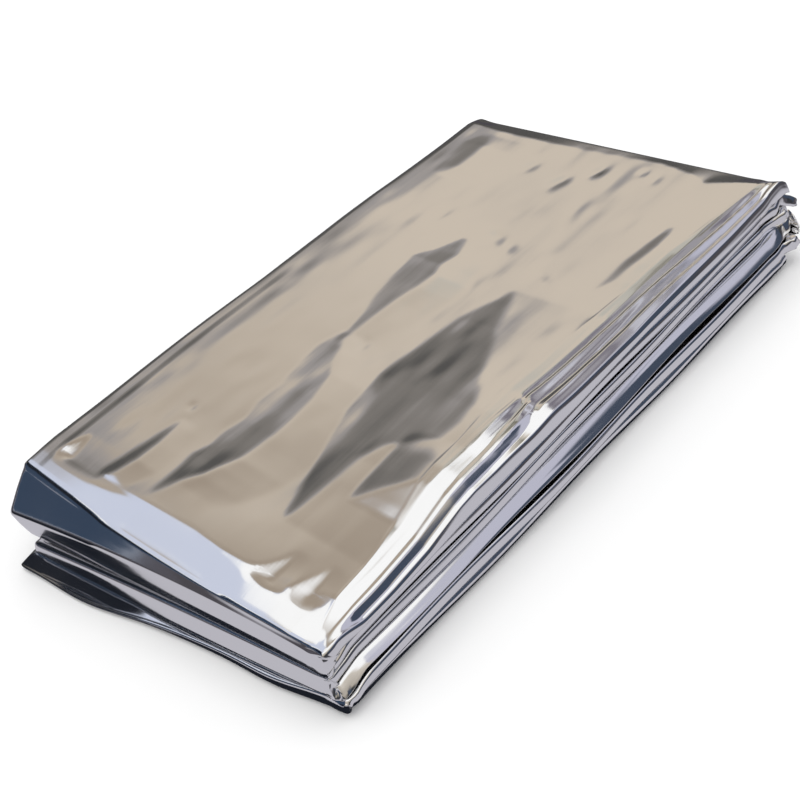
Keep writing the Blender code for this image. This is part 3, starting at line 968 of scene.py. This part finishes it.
def noise(node_tree, place, scale, detail):
    """Noise with its own scale in cells per metre along each axis."""
    stretch = node_tree.nodes.new("ShaderNodeVectorMath")
    stretch.operation = "MULTIPLY"
    node_tree.links.new(place, stretch.inputs[0])
    stretch.inputs[1].default_value = scale
    node = node_tree.nodes.new("ShaderNodeTexNoise")
    node_tree.links.new(stretch.outputs[0], node.inputs["Vector"])
    node.inputs["Scale"].default_value = 1.0
    node.inputs["Detail"].default_value = detail
    return node.outputs[0]


# What the film mirrors: a studio drawn as soft-edged panels of light and dark. Azimuth is measured in
# degrees from +X towards +Y, roll is counterclockwise as seen from the pack, and a later panel lies
# over an earlier one.
Panel = namedtuple("Panel", "name azimuth elevation half_width half_height roll soft colour")
PANELS = (
    Panel("tan_wall", 46, 39, 38, 21, 0, 5, (0.62, 0.54, 0.45)),
    Panel("cream_wall", 22, 50, 14, 7, 0, 6, (0.50, 0.48, 0.43)),
    Panel("rim_grey", -20, 47, 24, 12.5, 0, 4, (0.33, 0.315, 0.345)),
    Panel("rim_stripe_dark", -14, 47, 1.4, 12.5, 0, 1.4, (0.09, 0.09, 0.11)),
    Panel("rim_stripe_light", -4, 47, 1.2, 12.5, 0, 1.4, (0.62, 0.62, 0.70)),
    Panel("rim_stripe_violet", 6, 47, 1.6, 12.5, 0, 1.4, (0.17, 0.155, 0.19)),
    Panel("tan_shade", 77, 54, 17, 10.5, 0, 20, (0.35, 0.29, 0.23)),
    Panel("low_flag_rim", 60, 21.2, 36, 17, 27.5, 2.5, (0.33, 0.31, 0.305)),
    Panel("low_flag", 61, 18.6, 36, 17, 27.5, 2.5, (0.20, 0.185, 0.17)),
    Panel("low_flag_core", 62, 14.6, 36, 17, 27.5, 4, (0.085, 0.082, 0.079)),
    Panel("dark_gap", 30, 54.5, 14, 1.2, 38, 1.5, (0.13, 0.12, 0.085)),
    Panel("left_softbox", 107, 46.5, 17, 15, 0, 4, (0.60, 0.64, 0.77)),
    Panel("left_flag", 136, 22, 26, 26, 0, 3, (0.035, 0.055, 0.095)),
    Panel("left_flag_foot", 136, -1, 26, 8, 0, 2, (0.085, 0.08, 0.095)),
    Panel("left_black", 112, 32, 20, 8.5, 0, 3, (0.006, 0.008, 0.014)),
    Panel("corner_white", 84, 60, 4.2, 5, 0, 1, (1.0, 1.0, 1.0)),
    Panel("flag_glint", 136, 7.4, 26, 0.4, 0, 0.6, (0.50, 0.55, 0.65)),
    Panel("edge_glint", 121, 47, 8, 1.5, 0, 1.5, (1.0, 1.0, 1.0)),
    Panel("right_lavender", -42, 42, 18, 15, 0, 5, (0.50, 0.50, 0.60)),
    Panel("right_navy", -55, 16, 35, 15, 0, 4, (0.05, 0.065, 0.10)),
)
Zone = namedtuple("Zone", "elevation colour")
SKY = (
    Zone(-30, (0.50, 0.49, 0.53)),
    Zone(0, (0.03, 0.033, 0.04)),
    Zone(16, (0.05, 0.05, 0.05)),
    Zone(23, (0.42, 0.38, 0.33)),
    Zone(48, (0.60, 0.55, 0.49)),
    Zone(56, (1.0, 1.0, 1.0)),
)
BACKDROP = (0.95, 0.95, 0.95)

# The stage. Heights are in millimetres, and STAGE_HALF and TABLE_CHANGE are in metres.
STAGE_HALF = 2.0
FLOOR_HEIGHT = -0.4
FLOOR_COLOUR = (0.9, 0.9, 0.9, 1.0)
FLOOR_ROUGHNESS = 0.9
# A table that is only mirrored, grey near the pack and dark further out
TABLE_HEIGHT = -0.3
TABLE_NEAR = (0.50, 0.49, 0.54)
TABLE_FAR = (0.07, 0.065, 0.075)
TABLE_CHANGE = (0.11, 0.16)
# Painted shadow: a black plane under the pack and a little past it, seen only in the film's reflections
# in place of the contact shadow, in the pack's own millimetres. The same black serves the painted shade
# over the lowest folds.
PAINTED_SHADE_COLOUR = (0.01, 0.012, 0.018)
PAINTED_SHADOW_HEIGHT = -0.1
PAINTED_SHADOW_CORNERS = ((-3.5, -2.5), (150, -3.5), (152, 90), (-14.5, 91), (-20, 80), (-10.5, 48))
# Painted shade: a black sheet held level over the lowest folds, which only they mirror, so that they
# show dark
PAINTED_SHADE_HEIGHT = 13.6
PAINTED_SHADE_CORNERS = ((-8.9, 120), (-8.9, 95), (-7.8, 78), (-6.6, 63), (-32, 63), (-32, 120))

# The lamp over the pack, in metres and watts
LAMP_SIZE = 1.2
LAMP_POWER = 6
LAMP_PLACE = (0.1, 0.1, 1.3)

# A panel shows only where the cosine of the angle from its middle is above PANEL_FRONT. The cosine
# that its offsets are divided by is held above LEAST_COSINE.
PANEL_FRONT = 0.01
LEAST_COSINE = 0.001

# The sockets of a colour mix node: its factor, its two colours and its result
MIX_FACTOR = 0
MIX_START = 6
MIX_END = 7
MIX_RESULT = 2


def node_value(node_tree, operation, *values):
    node = node_tree.nodes.new("ShaderNodeMath")
    node.operation = operation
    for socket, value in zip(node.inputs, values):
        if isinstance(value, bpy.types.NodeSocket):
            node_tree.links.new(value, socket)
        else:
            socket.default_value = value
    return node.outputs[0]


def node_dot(node_tree, direction, vector):
    node = node_tree.nodes.new("ShaderNodeVectorMath")
    node.operation = "DOT_PRODUCT"
    node_tree.links.new(direction, node.inputs[0])
    node.inputs[1].default_value = vector
    return node.outputs["Value"]


def node_mix(node_tree, share, start, end):
    node = node_tree.nodes.new("ShaderNodeMix")
    node.data_type = "RGBA"
    for place, value in ((MIX_FACTOR, share), (MIX_START, start), (MIX_END, end)):
        if isinstance(value, bpy.types.NodeSocket):
            node_tree.links.new(value, node.inputs[place])
        else:
            node.inputs[place].default_value = (*value, 1.0)
    return node.outputs[MIX_RESULT]


def panel_mask(node_tree, direction, panel):
    """1 inside a soft-edged rectangle on the studio's dome, 0 outside it."""
    turn = Matrix.Rotation(math.radians(panel.azimuth), 3, "Z")
    turn = turn @ Matrix.Rotation(math.radians(-panel.elevation), 3, "Y")
    turn = turn @ Matrix.Rotation(math.radians(panel.roll), 3, "X")
    ahead = turn @ Vector((1, 0, 0))
    aside = turn @ Vector((0, 1, 0))
    upward = turn @ Vector((0, 0, 1))
    front = node_value(node_tree, "MAXIMUM", node_dot(node_tree, direction, ahead), LEAST_COSINE)
    mask = node_value(node_tree, "GREATER_THAN", front, PANEL_FRONT)
    for vector, half in ((aside, panel.half_width), (upward, panel.half_height)):
        offset = node_value(node_tree, "DIVIDE", node_dot(node_tree, direction, vector), front)
        angle = node_value(node_tree, "ARCTANGENT", node_value(node_tree, "ABSOLUTE", offset))
        ramp = node_tree.nodes.new("ShaderNodeMapRange")
        ramp.interpolation_type = "SMOOTHSTEP"
        node_tree.links.new(angle, ramp.inputs["Value"])
        ramp.inputs["From Min"].default_value = math.radians(half - panel.soft / 2)
        ramp.inputs["From Max"].default_value = math.radians(half + panel.soft / 2)
        ramp.inputs["To Min"].default_value = 1.0
        ramp.inputs["To Max"].default_value = 0.0
        mask = node_value(node_tree, "MULTIPLY", mask, ramp.outputs[0])
    return mask


def make_world():
    world = bpy.data.worlds.new("studio")
    world.use_nodes = True
    node_tree = world.node_tree
    direction = node_tree.nodes.new("ShaderNodeTexCoord").outputs["Generated"]
    height = node_value(node_tree, "ARCSINE", node_dot(node_tree, direction, (0, 0, 1)))
    sky = node_tree.nodes.new("ShaderNodeValToRGB")
    half_turn = node_value(node_tree, "MULTIPLY_ADD", height, 1 / math.pi, 0.5)
    node_tree.links.new(half_turn, sky.inputs[0])
    ramp = sky.color_ramp
    while len(ramp.elements) < len(SKY):
        ramp.elements.new(0.5)
    for element, zone in zip(ramp.elements, SKY):
        element.position = zone.elevation / 180 + 0.5
        element.color = (*zone.colour, 1.0)
    studio = sky.outputs[0]
    for panel in PANELS:
        studio = node_mix(node_tree, panel_mask(node_tree, direction, panel), studio, panel.colour)
    mirrored = node_tree.nodes.new("ShaderNodeLightPath").outputs["Is Glossy Ray"]
    colour = node_mix(node_tree, mirrored, BACKDROP, studio)
    node_tree.links.new(colour, node_tree.nodes["Background"].inputs[0])
    bpy.context.scene.world = world


def make_ground(name, height, corners, material):
    """A level plane of the stage. Its height is in millimetres and its corners are in metres."""
    mesh = bpy.data.meshes.new(name)
    points = [(x, y, height * MM) for x, y in corners]
    mesh.from_pydata(points, [], [tuple(range(len(corners)))])
    mesh.materials.append(material)
    ground = bpy.data.objects.new(name, mesh)
    bpy.context.scene.collection.objects.link(ground)
    return ground


def stage_corners():
    return [(x * STAGE_HALF, y * STAGE_HALF) for x, y in ((-1, -1), (1, -1), (1, 1), (-1, 1))]


def beside_pack(corners):
    """Places given in the pack's own millimetres, in the scene's metres."""
    start_x, start_y = pack_corner()[:2]
    return [(start_x + x * MM, start_y + y * MM) for x, y in corners]


def only_mirrored(ground):
    """Leaves a plane in the film's reflections and nowhere else."""
    ground.visible_camera = False
    ground.visible_diffuse = False
    ground.visible_shadow = False


def glow_material(name, near, far, change):
    """A glow that changes from near to far between two distances from the middle of the stage."""
    material = bpy.data.materials.new(name)
    material.use_nodes = True
    node_tree = material.node_tree
    place = node_tree.nodes.new("ShaderNodeTexCoord").outputs["Object"]
    distance = node_tree.nodes.new("ShaderNodeVectorMath")
    distance.operation = "LENGTH"
    node_tree.links.new(place, distance.inputs[0])
    ramp = node_tree.nodes.new("ShaderNodeMapRange")
    ramp.interpolation_type = "SMOOTHSTEP"
    node_tree.links.new(distance.outputs["Value"], ramp.inputs["Value"])
    ramp.inputs["From Min"].default_value = change[0]
    ramp.inputs["From Max"].default_value = change[1]
    glow = node_tree.nodes.new("ShaderNodeEmission")
    node_tree.links.new(node_mix(node_tree, ramp.outputs[0], near, far), glow.inputs[0])
    node_tree.links.new(glow.outputs[0], node_tree.nodes["Material Output"].inputs[0])
    return material


def make_floor():
    """A pale floor, and what the film mirrors instead of it: a grey table, a painted shadow under the
    pack and a painted shade over the lowest folds, both black.
    """
    pale = bpy.data.materials.new("pale_floor")
    pale.use_nodes = True
    shader = pale.node_tree.nodes["Principled BSDF"]
    shader.inputs["Base Color"].default_value = FLOOR_COLOUR
    shader.inputs["Roughness"].default_value = FLOOR_ROUGHNESS
    shader.inputs["Specular IOR Level"].default_value = 0.0
    floor = make_ground("floor", FLOOR_HEIGHT, stage_corners(), pale)
    floor.visible_glossy = False
    grey = glow_material("table_grey", TABLE_NEAR, TABLE_FAR, TABLE_CHANGE)
    only_mirrored(make_ground("table", TABLE_HEIGHT, stage_corners(), grey))
    # Painted shadow under the pack and painted shade over the lowest folds: black planes that only the
    # film mirrors
    black = glow_material("painted_shade_black", PAINTED_SHADE_COLOUR, PAINTED_SHADE_COLOUR, TABLE_CHANGE)
    only_mirrored(make_ground("painted_shadow_under_pack", PAINTED_SHADOW_HEIGHT, beside_pack(PAINTED_SHADOW_CORNERS), black))
    only_mirrored(make_ground("painted_shade_over_folds", PAINTED_SHADE_HEIGHT, beside_pack(PAINTED_SHADE_CORNERS), black))


def make_lamp():
    data = bpy.data.lights.new("overhead", "AREA")
    data.size = LAMP_SIZE
    data.energy = LAMP_POWER
    lamp = bpy.data.objects.new("overhead", data)
    lamp.location = LAMP_PLACE
    lamp.visible_glossy = False
    bpy.context.scene.collection.objects.link(lamp)


def make_camera():
    data = bpy.data.cameras.new("camera")
    data.lens = CAMERA_LENS
    data.sensor_width = CAMERA_SENSOR
    data.clip_start = CAMERA_NEAREST
    camera = bpy.data.objects.new("camera", data)
    camera.location = Vector(pack_corner()) + Vector(CAMERA_FROM_CORNER) * MM
    camera.rotation_euler = [math.radians(angle) for angle in CAMERA_TURN]
    bpy.context.scene.collection.objects.link(camera)
    bpy.context.scene.camera = camera


def main():
    film = make_film()
    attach(film, "root")
    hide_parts(NODE)
    make_world()
    make_floor()
    make_lamp()
    make_camera()
    bpy.context.scene.view_settings.view_transform = "Standard"


main()
